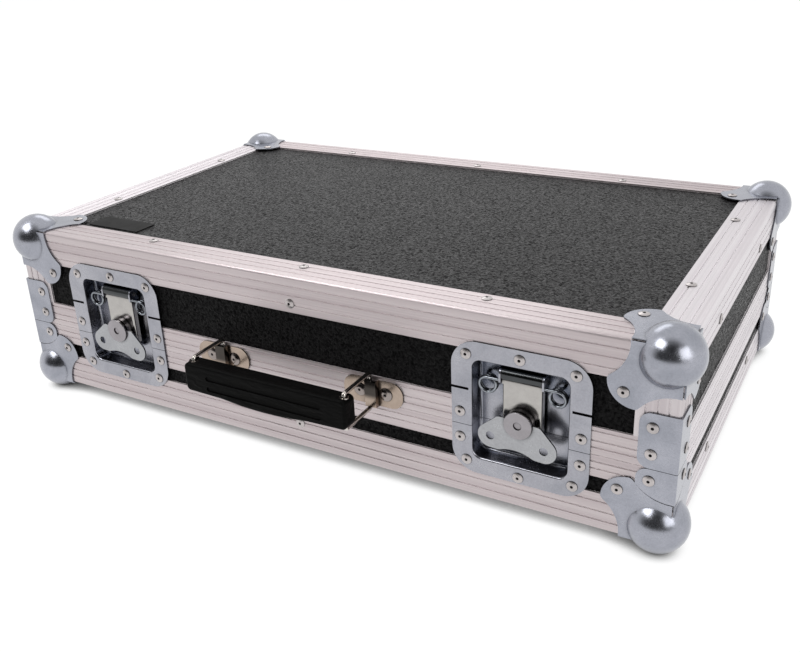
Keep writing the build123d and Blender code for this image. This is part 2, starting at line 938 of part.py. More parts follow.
# Latch arms, studs, wings and claws

arm_low = parting + arm_bottom_above_parting
arm_flange_high = hinge_z - arm_flange_top_below_hinge
arm_back_depth = arm_face_depth + arm_sheet
wing_front_depth = wing_rear_depth - wing_thickness
claw_front_depth = arm_back_depth + claw_gap
claw_back_depth = claw_front_depth + claw_thickness
claw_low = parting - claw_tip_below_parting
claw_high = stud_z + claw_top_above_stud
cam_z = stud_z + cam_offset


def disc(x, z, radius, front_depth, back_depth):
    """A cylinder along Y between two depths behind the case's front face."""
    with BuildPart() as body:
        with BuildSketch(front_plane(front_depth)):
            with Locations((x, z)):
                Circle(radius)
        extrude(amount=front_depth - back_depth)
    return body.part


def wing_outline(x):
    """Front view of the butterfly wing, hanging from the stud."""
    with BuildSketch() as outline:
        with Locations((-wing_lobe_across, -wing_lobe_down), (wing_lobe_across, -wing_lobe_down)):
            Circle(wing_lobe_radius)
        shoulder_x = wing_shoulder_across - wing_shoulder_round
        shoulder_y = wing_top_above_stud - wing_shoulder_round
        with Locations((-shoulder_x, shoulder_y), (shoulder_x, shoulder_y)):
            Circle(wing_shoulder_round)
        make_hull()
        edge_y = -wing_lobe_down - wing_lobe_radius
        half = wing_waist_width / 2
        with BuildLine():
            ThreePointArc((-half, edge_y), (0, edge_y + wing_waist_up), (half, edge_y))
            Line((half, edge_y), (-half, edge_y))
        make_face(mode=Mode.SUBTRACT)
        waist = outline.vertices().filter_by(lambda v: abs(v.Y - edge_y) < same_place)
        fillet([v for v in waist if abs(abs(v.X) - half) < same_place], wing_waist_round)
        Circle(hub_radius, mode=Mode.SUBTRACT)
        with Locations((-wing_lobe_across, -wing_lobe_down), (wing_lobe_across, -wing_lobe_down)):
            Circle(wing_hole_radius, mode=Mode.SUBTRACT)
    return outline.sketch.rotate(Axis.Z, -wing_tilt)


wing_shape = wing_outline(0)

for side, x in latch_places.items():
    with BuildPart() as arm:
        with BuildSketch(Plane(origin=(x, front_face + arm_face_depth, arm_low))) as channel:
            with Locations((0, (arm_flange_depth - arm_face_depth) / 2)):
                Rectangle(arm_width, arm_flange_depth - arm_face_depth)
            fillet(channel.vertices().group_by(Axis.Y)[0], arm_bend)
            with Locations((0, (arm_flange_depth - arm_face_depth) / 2 + arm_sheet)):
                Rectangle(
                    arm_width - 2 * arm_sheet,
                    arm_flange_depth - arm_face_depth,
                    mode=Mode.SUBTRACT,
                )
        extrude(amount=arm_flange_high - arm_low)
        add(
            box_between(
                (x - arm_width / 2, front_face + arm_face_depth, arm_flange_high),
                (
                    x + arm_width / 2,
                    front_face + arm_back_depth,
                    hinge_z - arm_plate_into_barrel,
                ),
            )
        )
        with BuildSketch(side_view(x - arm_width / 2)):
            with Locations((front_face + hinge_pin_depth, hinge_z)):
                Circle(hinge_barrel_radius)
        extrude(amount=arm_width)
        with BuildSketch(side_view(x - arm_width / 2)):
            with Locations((front_face + hinge_pin_depth, hinge_z)):
                Circle(latch_pin_radius + latch_pin_play)
        extrude(amount=arm_width, mode=Mode.SUBTRACT)
        add(
            disc(x, stud_z, stud_radius + stud_play, 0, arm_flange_depth),
            mode=Mode.SUBTRACT,
        )
    save(arm, side + "_arm")

    cap_front = wing_front_depth - cap_thickness
    cam_back = claw_back_depth + stud_end_play
    with BuildPart() as stud:
        add(disc(x, stud_z, cap_radius, cap_front, wing_front_depth))
        fillet(stud.edges().sort_by(Axis.Y)[0], cap_edge_round)
        add(
            disc(x, stud_z, cap_mark_radius, cap_front, cap_front + cap_mark_depth),
            mode=Mode.SUBTRACT,
        )
        add(disc(x, stud_z, hub_radius, wing_front_depth, wing_rear_depth))
        add(disc(x, stud_z, collar_radius, wing_rear_depth, arm_face_depth - collar_gap))
        add(
            disc(
                x,
                stud_z,
                stud_radius,
                arm_face_depth - collar_gap,
                arm_back_depth + stud_end_play,
            )
        )
        add(disc(x, cam_z, cam_radius, arm_back_depth + stud_end_play, cam_back))
        add(disc(x, cam_z, cam_head_radius, cam_back, cam_back + cam_head_thickness))
    save(stud, side + "_stud")

    with BuildPart() as wing:
        with BuildSketch(front_plane(wing_rear_depth)):
            with Locations((x, stud_z)):
                add(wing_shape)
        extrude(amount=wing_thickness)
    save(wing, side + "_wing")

    with BuildPart() as claw:
        with BuildSketch(front_plane(claw_back_depth)):
            with Locations((x, (claw_low + claw_high) / 2)):
                Rectangle(claw_width, claw_high - claw_low)
            with Locations((x, cam_z)):
                Rectangle(
                    2 * (cam_radius + cam_offset + cam_side_play),
                    2 * (cam_radius + claw_slot_play),
                    mode=Mode.SUBTRACT,
                )
        extrude(amount=claw_thickness)
        add(
            box_between(
                (x - claw_width / 2, front_face + claw_back_depth, claw_low),
                (
                    x + claw_width / 2,
                    front_face + claw_back_depth + claw_nib_reach,
                    claw_low + claw_nib_height,
                ),
            )
        )
    save(claw, side + "_claw")


# Latch springs


def biarc_points(start, end, start_way, end_way):
    """Where two tangent arcs between two points meet, and their direction there."""
    span = end - start
    ways = start_way + end_way
    across = span.dot(ways)
    spread = 2 * (1 - start_way.dot(end_way))
    reach = (-across + math.sqrt(across**2 + spread * span.dot(span))) / spread
    meeting = (start + end + (start_way - end_way) * reach) * 0.5
    way = (end - end_way * reach) - (start + start_way * reach)
    return meeting, way.normalized()


def spring_path(x, z, end_x, outward):
    """Centre line of one spring: a straight leg, the turns, a bend and a straight tail.

    outward is 1 for the spring to the right of the arm and -1 for the one to its left.
    """
    leg_y = front_face + spring_front_depth
    steps = 4 * spring_turns
    points = []
    ways = []
    for step in range(steps + 1):
        turn = step * math.pi / 2
        points.append(
            Vector(
                x + outward * spring_mean_radius * math.sin(turn),
                leg_y + spring_pitch * step / 4,
                z + spring_mean_radius * math.cos(turn),
            )
        )
        ways.append(
            Vector(
                outward * spring_mean_radius * math.cos(turn),
                spring_pitch / (2 * math.pi),
                -spring_mean_radius * math.sin(turn),
            ).normalized()
        )
    ways[0] = Vector(outward, 0, 0)
    ways[-1] = Vector(outward, 0, 0)
    with BuildLine() as path:
        Line((end_x, leg_y, z + spring_mean_radius), points[0])
        for start, end, start_way, end_way in zip(points, points[1:], ways, ways[1:]):
            meeting, way = biarc_points(start, end, start_way, end_way)
            TangentArc(start, meeting, tangent=start_way)
            TangentArc(meeting, end, tangent=way)
        bend_end = points[-1] + Vector(outward * spring_tail_bend, spring_tail_bend, 0)
        TangentArc(points[-1], bend_end, tangent=ways[-1])
        Line(bend_end, (bend_end.X, front_face + pan_depth, bend_end.Z))
    return path.wire()


def least_gap(path, wire_radius, turn_length):
    """Least free gap of a wound wire to itself, measured on points of its centre line."""
    count = spring_gap_samples
    places = [path.position_at(i / count) for i in range(count + 1)]
    apart = math.ceil(turn_length / 2 / (path.length / count))
    return min(
        (places[j] - places[i]).length - 2 * wire_radius
        for i in range(count + 1)
        for j in range(i + apart, count + 1)
    )


turn_length = math.hypot(2 * math.pi * spring_mean_radius, spring_pitch)
spring_z = hinge_z - spring_below_hinge
for side, x in latch_places.items():
    paths = [
        spring_path(x + s * spring_across, spring_z, x + s * pin_half, s) for s in (-1, 1)
    ]
    with BuildPart() as springs:
        for path in paths:
            with BuildSketch(Plane(origin=path @ 0, z_dir=path % 0)):
                Circle(spring_wire_radius)
            sweep(path=path)
    save(springs, side + "_latch_spring")
    gap = min(least_gap(path, spring_wire_radius, turn_length) for path in paths)
    print(f"{side} latch springs: least gap between turns {gap:.2f} mm")


# Folding handle on the lid's front rim

plate_z = parting + handle_above_parting
ring_z = plate_z + ring_lift
pivot_y = front_face - ring_pivot_reach
leg_y = pivot_y - ring_reach
plate_places = [-handle_spacing / 2, handle_spacing / 2]
ring_places = {"left": -ring_spacing / 2, "right": ring_spacing / 2}


def trapezium(bottom_width, top_width, height):
    """Outline of the bridge from above, standing forwards from the rim's face."""
    with BuildSketch(Plane(origin=(0, front_face, 0))) as outline:
        with BuildLine():
            Polyline(
                (-bottom_width / 2, 0),
                (-top_width / 2, -height),
                (top_width / 2, -height),
                (bottom_width / 2, 0),
                (-bottom_width / 2, 0),
            )
        make_face()
    return outline.sketch


arch_outer = trapezium(arch_width, arch_top_width, arch_rise)
arch_inner = trapezium(
    arch_width - 2 * steel_sheet, arch_top_width - 2 * steel_sheet, arch_rise - steel_sheet
)

with BuildPart() as handle_plates:
    for x in plate_places:
        with BuildSketch(front_plane()):
            with Locations((x, plate_z)):
                RectangleRounded(plate_length, plate_height, plate_corner_round)
        extrude(amount=steel_sheet)
        with BuildSketch(Plane(origin=(x, 0, plate_z - plate_height / 2))):
            add(arch_outer)
        extrude(amount=plate_height)
        with BuildSketch(Plane(origin=(x, 0, plate_z - plate_height / 2))):
            add(arch_inner)
        extrude(amount=plate_height, mode=Mode.SUBTRACT)
        with BuildSketch(front_plane()):
            with Locations(*[(x + s * handle_rivet_across, plate_z) for s in (-1, 1)]):
                Circle(rivet_shank_radius + rivet_hole_play)
        extrude(amount=steel_sheet, mode=Mode.SUBTRACT)
save(handle_plates, "handle_plates")

handle_rivet_points = [
    (x + s * handle_rivet_across, plate_z) for x in plate_places for s in (-1, 1)
]
with BuildPart() as handle_rivets:
    with Locations(*on(front_plane(-steel_sheet), *handle_rivet_points)):
        add(handle_rivet)
save(handle_rivets, "handle_rivets")

for side, x in ring_places.items():
    with BuildLine(side_view(x)) as ring_line:
        high = ring_z + ring_height / 2
        low = ring_z - ring_height / 2
        Polyline((pivot_y, low), (pivot_y, high), (leg_y, high), (leg_y, low), (pivot_y, low))
    ring_wire = ring_line.wire()
    inner_corners = ring_wire.vertices().group_by(Axis.Y)[-1]
    ring_wire = ring_wire.fillet_2d(ring_inner_round, inner_corners)
    outer_corners = ring_wire.vertices().group_by(Axis.Y)[0]
    ring_wire = ring_wire.fillet_2d(ring_outer_round, outer_corners)
    with BuildPart() as ring:
        with BuildSketch(Plane(origin=ring_wire @ 0, z_dir=ring_wire % 0)):
            Circle(ring_wire_radius)
        sweep(path=ring_wire)
    save(ring, side + "_ring")

grip_end_x = ring_spacing / 2 + grip_overhang
grip_top = ring_z + grip_top_above_ring
grip_plane = Plane(origin=(0, leg_y - grip_depth / 2, 0), x_dir=(1, 0, 0), z_dir=(0, -1, 0))
with BuildPart() as grip:
    with BuildSketch(grip_plane) as grip_outline:
        quarter_x = grip_end_x - grip_quarter_in
        with BuildLine():
            Polyline(
                (-quarter_x, ring_z - grip_quarter_below_ring),
                (-grip_end_x, ring_z - grip_end_below_ring),
                (-grip_end_x, grip_top),
                (grip_end_x, grip_top),
                (grip_end_x, ring_z - grip_end_below_ring),
                (quarter_x, ring_z - grip_quarter_below_ring),
            )
            ThreePointArc(
                (quarter_x, ring_z - grip_quarter_below_ring),
                (0, ring_z - grip_middle_below_ring),
                (-quarter_x, ring_z - grip_quarter_below_ring),
            )
        make_face()
        quarters = [v for v in grip_outline.vertices() if abs(abs(v.X) - quarter_x) < same_place]
        fillet(quarters, grip_quarter_round)
        ends = [v for v in grip_outline.vertices() if abs(abs(v.X) - grip_end_x) < same_place]
        fillet(ends, grip_corner_round)
    extrude(amount=-grip_depth)
    faces = grip.faces().filter_by(Axis.Y).sort_by(Axis.Y)
    fillet(faces[0].edges() + faces[-1].edges(), grip_edge_round)
    with BuildSketch(grip_plane):
        middle_z = ring_z - grip_groove_below_ring
        with Locations(*[(0, middle_z + s * grip_groove_spacing / 2) for s in (-1, 1)]):
            SlotOverall(grip_groove_length, grip_groove_height)
    extrude(amount=-grip_groove_depth, mode=Mode.SUBTRACT)
    for side, play in (("left", grip_pivot_play), ("right", grip_open_pivot_play)):
        with BuildSketch(Plane.XY.offset(ring_z - ring_height)):
            with Locations((ring_places[side], leg_y)):
                Circle(ring_wire_radius + play)
        extrude(amount=2 * ring_height, mode=Mode.SUBTRACT)
    with BuildSketch(Plane.XY.offset(grip_top)):
        with Locations(*[(x, leg_y) for x in ring_places.values()]):
            Circle(fitting_radius + fitting_seat_play)
    extrude(amount=-fitting_thickness, mode=Mode.SUBTRACT)
save(grip, "grip")

with BuildPart() as grip_fittings:
    with BuildSketch(Plane.XY.offset(grip_top - fitting_thickness)):
        with Locations(*[(x, leg_y) for x in ring_places.values()]):
            Circle(fitting_radius)
            Circle(ring_wire_radius + fitting_play, mode=Mode.SUBTRACT)
    extrude(amount=fitting_thickness)
save(grip_fittings, "grip_fittings")


# Rear hinges

hinge_axis_y = rear_face + case_hinge_offset
knuckle_width = (
    case_hinge_width - (case_hinge_knuckles - 1) * case_hinge_knuckle_gap
) / case_hinge_knuckles
leaf_start = case_hinge_knuckle_radius + case_hinge_knuckle_gap
hinge_places = [-case_hinge_spacing / 2, case_hinge_spacing / 2]


def make_leaves(up, bore, name, rivets):
    """The leaves of both hinges, up for the lid and down for the base."""
    first = 1 if up > 0 else 0
    with BuildPart() as leaves:
        for x in hinge_places:
            left = x - case_hinge_width / 2
            edge_z = parting + up * leaf_start
            far_z = parting + up * case_hinge_leaf_height
            add(
                box_between(
                    (left, rear_face, min(edge_z, far_z)),
                    (left + case_hinge_width, rear_face + case_hinge_sheet, max(edge_z, far_z)),
                )
            )
            for index in range(first, case_hinge_knuckles, 2):
                start = left + index * (knuckle_width + case_hinge_knuckle_gap)
                add(
                    box_between(
                        (start, rear_face, min(parting, edge_z)),
                        (start + knuckle_width, rear_face + case_hinge_sheet, max(parting, edge_z)),
                    )
                )
                with BuildSketch(side_view(start)):
                    with Locations((hinge_axis_y, parting)):
                        Circle(case_hinge_knuckle_radius)
                extrude(amount=knuckle_width)
            with BuildSketch(side_view(left)):
                with Locations((hinge_axis_y, parting)):
                    Circle(bore)
            extrude(amount=case_hinge_width, mode=Mode.SUBTRACT)
        with Locations(*rivets):
            add(hole_cutter, mode=Mode.SUBTRACT)
    save(leaves, name)


make_leaves(-1, case_hinge_pin_radius, "base_hinge_leaves", hinge_rivet_places(False))
make_leaves(
    1, case_hinge_pin_radius + case_hinge_pin_play, "lid_hinge_leaves", hinge_rivet_places(True)
)

with BuildPart() as hinge_pins:
    for x in hinge_places:
        with BuildSketch(side_view(x - case_hinge_width / 2)):
            with Locations((hinge_axis_y, parting)):
                Circle(case_hinge_pin_radius)
        extrude(amount=case_hinge_width)
save(hinge_pins, "hinge_pins")


# Foam lining

foam_out = rim_back + foam_play
foam_in = foam_out + foam_thickness
pan_clear = pan_width / 2 + steel_sheet + foam_pan_play
foam_right = side_face - foam_out


def make_foam(flat_low, flat_high, wall_low, wall_high, name):
    """The pads of one half: a flat pad, and wall pads that leave the latch pans free."""
    with BuildPart() as foam:
        add(
            box_between(
                (-foam_right, front_face + foam_out, flat_low),
                (foam_right, rear_face - foam_out, flat_high),
            )
        )
        add(
            box_between(
                (-foam_right, rear_face - foam_in, wall_low),
                (foam_right, rear_face - foam_out, wall_high),
            )
        )
        for start, end in (
            (-foam_right, -latch_x - pan_clear),
            (-latch_x + pan_clear, latch_x - pan_clear),
            (latch_x + pan_clear, foam_right),
        ):
            add(
                box_between(
                    (start, front_face + foam_out, wall_low),
                    (end, front_face + foam_in, wall_high),
                )
            )
        for start in (-foam_right, foam_right - foam_thickness):
            add(
                box_between(
                    (start, front_face + foam_in + foam_play, wall_low),
                    (start + foam_thickness, rear_face - foam_in - foam_play, wall_high),
                )
            )
    save(foam, name)


base_floor_low = bottom_face + panel_back + foam_play
base_floor_high = base_floor_low + foam_floor_thickness
make_foam(
    base_floor_low,
    base_floor_high,
    base_floor_high + foam_play,
    parting - foam_from_parting,
    "base_foam",
)
lid_flat_high = top_face - panel_back - foam_play
lid_flat_low = lid_flat_high - foam_floor_thickness
make_foam(
    lid_flat_low,
    lid_flat_high,
    lid_edge + foam_from_parting,
    lid_flat_low - foam_play,
    "lid_foam",
)


# Bare label plate

with BuildPart() as label_plate:
    with BuildSketch(top_plane(panel_face)):
        with Locations((-side_face + label_from_left, front_face + label_from_front)):
            RectangleRounded(label_length, label_width, label_corner_round)
    extrude(amount=label_thickness)
save(label_plate, "label_plate")
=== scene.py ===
"""Looks of the flight case: materials, foam pads, dark discs of painted shade in the rivet heads,
floor, light and camera.
"""
import math
from collections import namedtuple

import bmesh
import bpy
import numpy as np
from mathutils import Matrix, Vector


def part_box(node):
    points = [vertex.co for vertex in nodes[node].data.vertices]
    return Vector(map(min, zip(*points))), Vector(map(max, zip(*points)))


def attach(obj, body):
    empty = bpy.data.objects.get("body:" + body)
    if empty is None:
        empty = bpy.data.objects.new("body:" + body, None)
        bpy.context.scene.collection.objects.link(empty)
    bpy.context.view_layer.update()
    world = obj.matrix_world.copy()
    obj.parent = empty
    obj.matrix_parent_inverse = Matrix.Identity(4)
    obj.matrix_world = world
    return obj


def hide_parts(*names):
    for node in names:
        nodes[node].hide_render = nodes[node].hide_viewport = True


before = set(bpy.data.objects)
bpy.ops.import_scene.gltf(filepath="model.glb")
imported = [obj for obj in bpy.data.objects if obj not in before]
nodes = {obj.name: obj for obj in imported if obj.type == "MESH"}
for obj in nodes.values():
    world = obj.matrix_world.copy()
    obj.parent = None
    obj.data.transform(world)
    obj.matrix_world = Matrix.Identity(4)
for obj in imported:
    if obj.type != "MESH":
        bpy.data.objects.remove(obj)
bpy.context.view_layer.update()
scene = bpy.context.scene

MM = 0.001
WHITE = (1.0, 1.0, 1.0)


# Node graphs

# Sockets of a Mix node that is set to colours
MIX_FACTOR, MIX_A, MIX_B, MIX_RESULT = 0, 6, 7, 2

# Rays that look for near surfaces from each point of a material, and of the floor
NEAR_SAMPLES = 6
FLOOR_SAMPLES = 16

# One layer of relief: its height socket, its strength and its full height in metres
Layer = namedtuple("Layer", "height strength depth")


def add_node(tree, kind, *linked, **values):
    """A new node of a tree.

    The first inputs are linked to the given sockets, in order. The inputs that the keywords name
    are linked where the value is a socket, and set where it isn't.
    """
    made = tree.nodes.new(kind)
    for socket, source in zip(made.inputs, linked):
        tree.links.new(source, socket)
    for key, value in values.items():
        socket = made.inputs[key.replace("_", " ")]
        if isinstance(value, bpy.types.NodeSocket):
            tree.links.new(value, socket)
        else:
            socket.default_value = value
    return made


def maths(tree, operation, *linked):
    """The result of a Math node on one or two linked values."""
    made = add_node(tree, "ShaderNodeMath", *linked)
    made.operation = operation
    return made.outputs[0]


def smooth_range(tree, value, low, high, start, end):
    """A smooth step of a value from low to high, from one result to another."""
    made = add_node(
        tree,
        "ShaderNodeMapRange",
        value,
        From_Min=low,
        From_Max=high,
        To_Min=start,
        To_Max=end,
    )
    made.interpolation_type = "SMOOTHSTEP"
    return made.outputs["Result"]


class Shader:
    """A Principled material and short calls that add nodes to it."""

    def __init__(self, name, metallic=0.0, roughness=0.5, specular=0.5):
        self.mat = bpy.data.materials.new(name)
        self.mat.use_nodes = True
        self.tree = self.mat.node_tree
        self.bsdf = self.tree.nodes["Principled BSDF"]
        self.bsdf.inputs["Metallic"].default_value = metallic
        self.bsdf.inputs["Roughness"].default_value = roughness
        self.bsdf.inputs["Specular IOR Level"].default_value = specular

    def node(self, kind, **values):
        """A new node, with its inputs set or linked by name."""
        return add_node(self.tree, kind, **values)

    def place(self, scale=(1.0, 1.0, 1.0)):
        """The object's own coordinates in metres, stretched by a scale for each axis."""
        coordinates = self.node("ShaderNodeTexCoord")
        mapping = self.node("ShaderNodeMapping", Vector=coordinates.outputs["Object"], Scale=scale)
        return mapping.outputs["Vector"]

    def drawn_place(self, axis, across, along):
        """Coordinates in which noise runs in streaks along one axis."""
        scale = [across] * 3
        scale["XYZ".index(axis)] = along
        return self.place(scale)

    def noise(self, place, scale, detail=3.0, rough=0.55, distortion=0.0):
        """A cloudy value around 0.5, with scale features to a unit of the place."""
        made = self.node(
            "ShaderNodeTexNoise",
            Vector=place,
            Scale=scale,
            Detail=detail,
            Roughness=rough,
            Distortion=distortion,
        )
        return made.outputs["Fac"]

    def openness(self, distance, samples=NEAR_SAMPLES):
        """One where nothing is near, and lower where other surfaces lie within a distance."""
        made = self.node("ShaderNodeAmbientOcclusion", Distance=distance)
        made.samples = samples
        return made.outputs["AO"]

    def ramp(self, value, low, high, at=(0.3, 0.7)):
        """Two colours, or two grey levels, spread over a value."""
        made = self.node("ShaderNodeValToRGB", Fac=value)
        for stop, colour, position in zip(made.color_ramp.elements, (low, high), at):
            if isinstance(colour, float):
                colour = (colour, colour, colour)
            stop.color = (*colour, 1.0)
            stop.position = position
        return made.outputs["Color"]

    def join(self, a, b, how="MULTIPLY", factor=1.0):
        """Two colours blended in a named way, by a share of the second."""
        made = self.node("ShaderNodeMix")
        made.data_type = "RGBA"
        made.blend_type = how
        made.inputs[MIX_FACTOR].default_value = factor
        self.tree.links.new(a, made.inputs[MIX_A])
        self.tree.links.new(b, made.inputs[MIX_B])
        return made.outputs[MIX_RESULT]

    def painted_crevice_shade(self, tone, reach=3.0 * MM, depth=0.2, at=(0.5, 0.93)):
        """A tone that turns darker in corners and gaps: painted shade."""
        return self.join(tone, self.ramp(self.openness(reach), depth, 1.0, at))

    def colour(self, socket):
        """Takes the base colour from a socket."""
        self.tree.links.new(socket, self.bsdf.inputs["Base Color"])

    def roughness(self, socket):
        """Takes the roughness from a socket."""
        self.tree.links.new(socket, self.bsdf.inputs["Roughness"])

    def gloss(self, socket):
        """Takes the strength of the reflection at a right angle from a socket."""
        self.tree.links.new(socket, self.bsdf.inputs["Specular IOR Level"])

    def brushed(self, axis, amount):
        """Reflections drawn out across the brush marks, which run along one axis."""
        way = [float(axis == letter) for letter in "XYZ"]
        turned = self.node("ShaderNodeVectorTransform", Vector=way)
        turned.vector_type = "VECTOR"
        turned.convert_from = "OBJECT"
        turned.convert_to = "WORLD"
        self.tree.links.new(turned.outputs[0], self.bsdf.inputs["Tangent"])
        self.bsdf.inputs["Anisotropic"].default_value = amount
        quarter_turn = 0.25
        self.bsdf.inputs["Anisotropic Rotation"].default_value = quarter_turn

    def bump(self, *layers):
        """Layers of relief, one over another."""
        below = {}
        for height, strength, depth in layers:
            made = self.node(
                "ShaderNodeBump", Height=height, Strength=strength, Distance=depth, **below
            )
            below = {"Normal": made.outputs["Normal"]}
        self.tree.links.new(below["Normal"], self.bsdf.inputs["Normal"])


# Kinds of material. Each varies between a low and a high colour. The scales of the noises are
# in features to a metre of the place, which is itself stretched in some of them.


def laminate(name, low, high, dull, glossy):
    """Black laminate with a pressed leather grain; its gloss runs from dull to glossy."""
    s = Shader(name, roughness=0.36, specular=0.12)
    where = s.place()
    cells = s.node("ShaderNodeTexVoronoi", Vector=where, Scale=520.0)
    cells.feature = "DISTANCE_TO_EDGE"
    creases = s.ramp(cells.outputs["Distance"], 0.0, 1.0, at=(0.0, 0.4))
    wrinkles = s.noise(where, scale=430.0, rough=0.6, distortion=0.6)
    fine = s.noise(where, scale=1500.0, detail=4.0, rough=0.65)
    patches = s.noise(where, scale=9.0)
    tone = s.ramp(wrinkles, low, high, at=(0.35, 0.68))
    s.colour(s.join(tone, s.ramp(patches, 0.8, 1.0), factor=0.6))
    skin = s.ramp(wrinkles, 0.5, 0.26, at=(0.36, 0.66))
    s.roughness(s.join(skin, s.ramp(fine, 0.85, 1.0), factor=0.7))
    s.gloss(s.ramp(wrinkles, dull, glossy, at=(0.38, 0.62)))
    s.bump(
        Layer(wrinkles, strength=1.0, depth=1.4 * MM),
        Layer(creases, strength=0.6, depth=0.3 * MM),
        Layer(fine, strength=0.3, depth=0.08 * MM),
    )
    return s.mat


def aluminium(name, along, low, high):
    """Drawn aluminium: streaks run along one axis, with faint dust and rough grooves painted
    lighter, a painted highlight against their shade.
    """
    s = Shader(name, metallic=1.0, roughness=0.3)
    streaks = s.noise(
        s.drawn_place(along, across=900.0, along=3.0), scale=1.0, detail=5.0, rough=0.7
    )
    bands = s.noise(s.drawn_place(along, across=160.0, along=1.2), scale=1.0, rough=0.6)
    dust = s.noise(s.place(), scale=14.0, detail=4.0, rough=0.6)
    tone = s.ramp(streaks, low, high, at=(0.3, 0.72))
    tone = s.join(tone, s.ramp(bands, (0.86, 0.84, 0.85), WHITE, at=(0.35, 0.65)))
    tone = s.join(tone, s.ramp(dust, 0.9, 1.0), factor=0.6)
    # Painted light: the colour is raised in the grooves, where near walls shade them; they are
    # also rougher.
    grooves = s.ramp(s.openness(0.8 * MM), 1.0, 0.0, at=(0.5, 0.9))
    s.colour(s.join(tone, grooves, "ADD", factor=0.4))
    skin = s.join(s.ramp(streaks, 0.36, 0.5), s.ramp(dust, 0.85, 1.0), factor=0.8)
    s.roughness(s.join(skin, grooves, "ADD", factor=0.3))
    s.brushed(along, amount=0.7)
    s.bump(
        Layer(streaks, strength=0.22, depth=0.05 * MM),
        Layer(bands, strength=0.1, depth=0.1 * MM),
    )
    return s.mat


def zinc(name, low, high, rough=(0.2, 0.32), recess=0.0):
    """Bluish zinc plating: soft clouds, fine spangle and light scratches.

    recess is how far, in metres, a wall close by makes the plating darker and bluer: painted shade
    in the recess.
    """
    s = Shader(name, metallic=1.0, roughness=0.32)
    where = s.place()
    clouds = s.noise(where, scale=38.0, detail=4.0, rough=0.6, distortion=0.4)
    grain = s.noise(where, scale=700.0, rough=0.6)
    scratches = s.noise(
        s.drawn_place("X", across=420.0, along=45.0),
        scale=2.0,
        detail=6.0,
        rough=0.75,
        distortion=0.6,
    )
    tone = s.ramp(clouds, low, high)
    tone = s.join(tone, s.ramp(grain, 0.9, 1.0, at=(0.3, 0.6)))
    tone = s.join(tone, s.ramp(scratches, 0.88, 1.0, at=(0.33, 0.45)), factor=0.5)
    if recess:
        # Painted shade: the tone turns darker and bluer where a wall is near.
        recess_shade_blue = (0.12, 0.17, 0.25)
        tone = s.join(tone, s.ramp(s.openness(recess), recess_shade_blue, WHITE, at=(0.3, 0.78)))
    # Painted shade: the tone turns darker in corners and gaps.
    s.colour(s.painted_crevice_shade(tone))
    s.roughness(s.join(s.ramp(clouds, *rough), s.ramp(grain, 0.85, 1.0)))
    s.bump(
        Layer(grain, strength=0.12, depth=0.06 * MM),
        Layer(scratches, strength=0.08, depth=0.08 * MM),
    )
    return s.mat


def nickel(name, low, high, rough=(0.14, 0.24), near=0.0, dark=()):
    """Polished nickel with faint wipe marks.

    near is how far, in metres, parts close by darken the tone: painted shade for their dark
    reflections. dark holds ranges as (axis, start, end) in metres; the tone is dark where the
    place
    is past the end in all of them: a painted reflection of the dark room.
    """
    s = Shader(name, metallic=1.0, roughness=0.15)
    where = s.place()
    wipes = s.noise(
        s.place((60.0, 60.0, 300.0)), scale=1.0, detail=4.0, rough=0.65, distortion=0.8
    )
    haze = s.noise(where, scale=120.0, rough=0.6)
    tone = s.ramp(haze, low, high, at=(0.25, 0.75))
    # Painted reflection of the dark room: the tone is dark inside the given ranges.
    if dark:
        parts = s.node("ShaderNodeSeparateXYZ", Vector=where)
        shares = [
            smooth_range(s.tree, parts.outputs[axis], start, end, 0.0, 1.0)
            for axis, start, end in dark
        ]
        share = shares[0] if len(shares) == 1 else maths(s.tree, "MULTIPLY", *shares)
        painted_room_reflection = (0.16, 0.175, 0.19)
        tone = s.join(tone, s.ramp(share, WHITE, painted_room_reflection, at=(0.0, 1.0)))
    # Painted shade where other parts are near.
    if near:
        tone = s.painted_crevice_shade(tone, near, depth=0.08, at=(0.45, 0.93))
    # Painted shade: the tone turns darker in corners and gaps.
    s.colour(s.painted_crevice_shade(tone))
    s.roughness(s.ramp(wipes, *rough, at=(0.3, 0.75)))
    s.bump(Layer(wipes, strength=0.04, depth=0.01 * MM))
    return s.mat


def plastic(name, low, high, grain=1300.0, relief=0.3, specular=0.07, lumps=0.0):
    """Moulded black plastic with a spark-eroded skin.

    relief is the strength of the skin's bump, and lumps that of soft dents.
    """
    s = Shader(name, roughness=0.5, specular=specular)
    where = s.place()
    skin = s.noise(where, grain, rough=0.6)
    wear = s.noise(where, scale=45.0, detail=5.0, rough=0.65, distortion=0.5)
    s.colour(s.ramp(wear, low, high, at=(0.35, 0.75)))
    s.roughness(s.join(s.ramp(wear, 0.44, 0.62), s.ramp(skin, 0.85, 1.0)))
    dents = s.noise(
        s.place((60.0, 110.0, 190.0)), scale=1.0, detail=2.0, rough=0.5, distortion=0.6
    )
    s.bump(
        Layer(dents, strength=lumps, depth=1.2 * MM),
        Layer(skin, strength=relief, depth=0.08 * MM),
        Layer(wear, strength=0.1, depth=0.2 * MM),
    )
    return s.mat


def foam(name, low, high):
    """Dark open-cell foam: dull, with pores."""
    s = Shader(name, roughness=0.95, specular=0.1)
    where = s.place()
    pores = s.node("ShaderNodeTexVoronoi", Vector=where, Scale=900.0).outputs["Distance"]
    fine = s.noise(where, scale=2200.0, rough=0.7)
    patches = s.noise(where, scale=12.0)
    tone = s.ramp(pores, high, low, at=(0.2, 0.8))
    s.colour(s.join(tone, s.ramp(patches, 0.85, 1.0)))
    s.roughness(s.ramp(fine, 0.88, 1.0))
    s.bump(
        Layer(pores, strength=0.8, depth=0.4 * MM),
        Layer(fine, strength=0.5, depth=0.2 * MM),
    )
    s.bsdf.inputs["Sheen Weight"].default_value = 0.15
    return s.mat
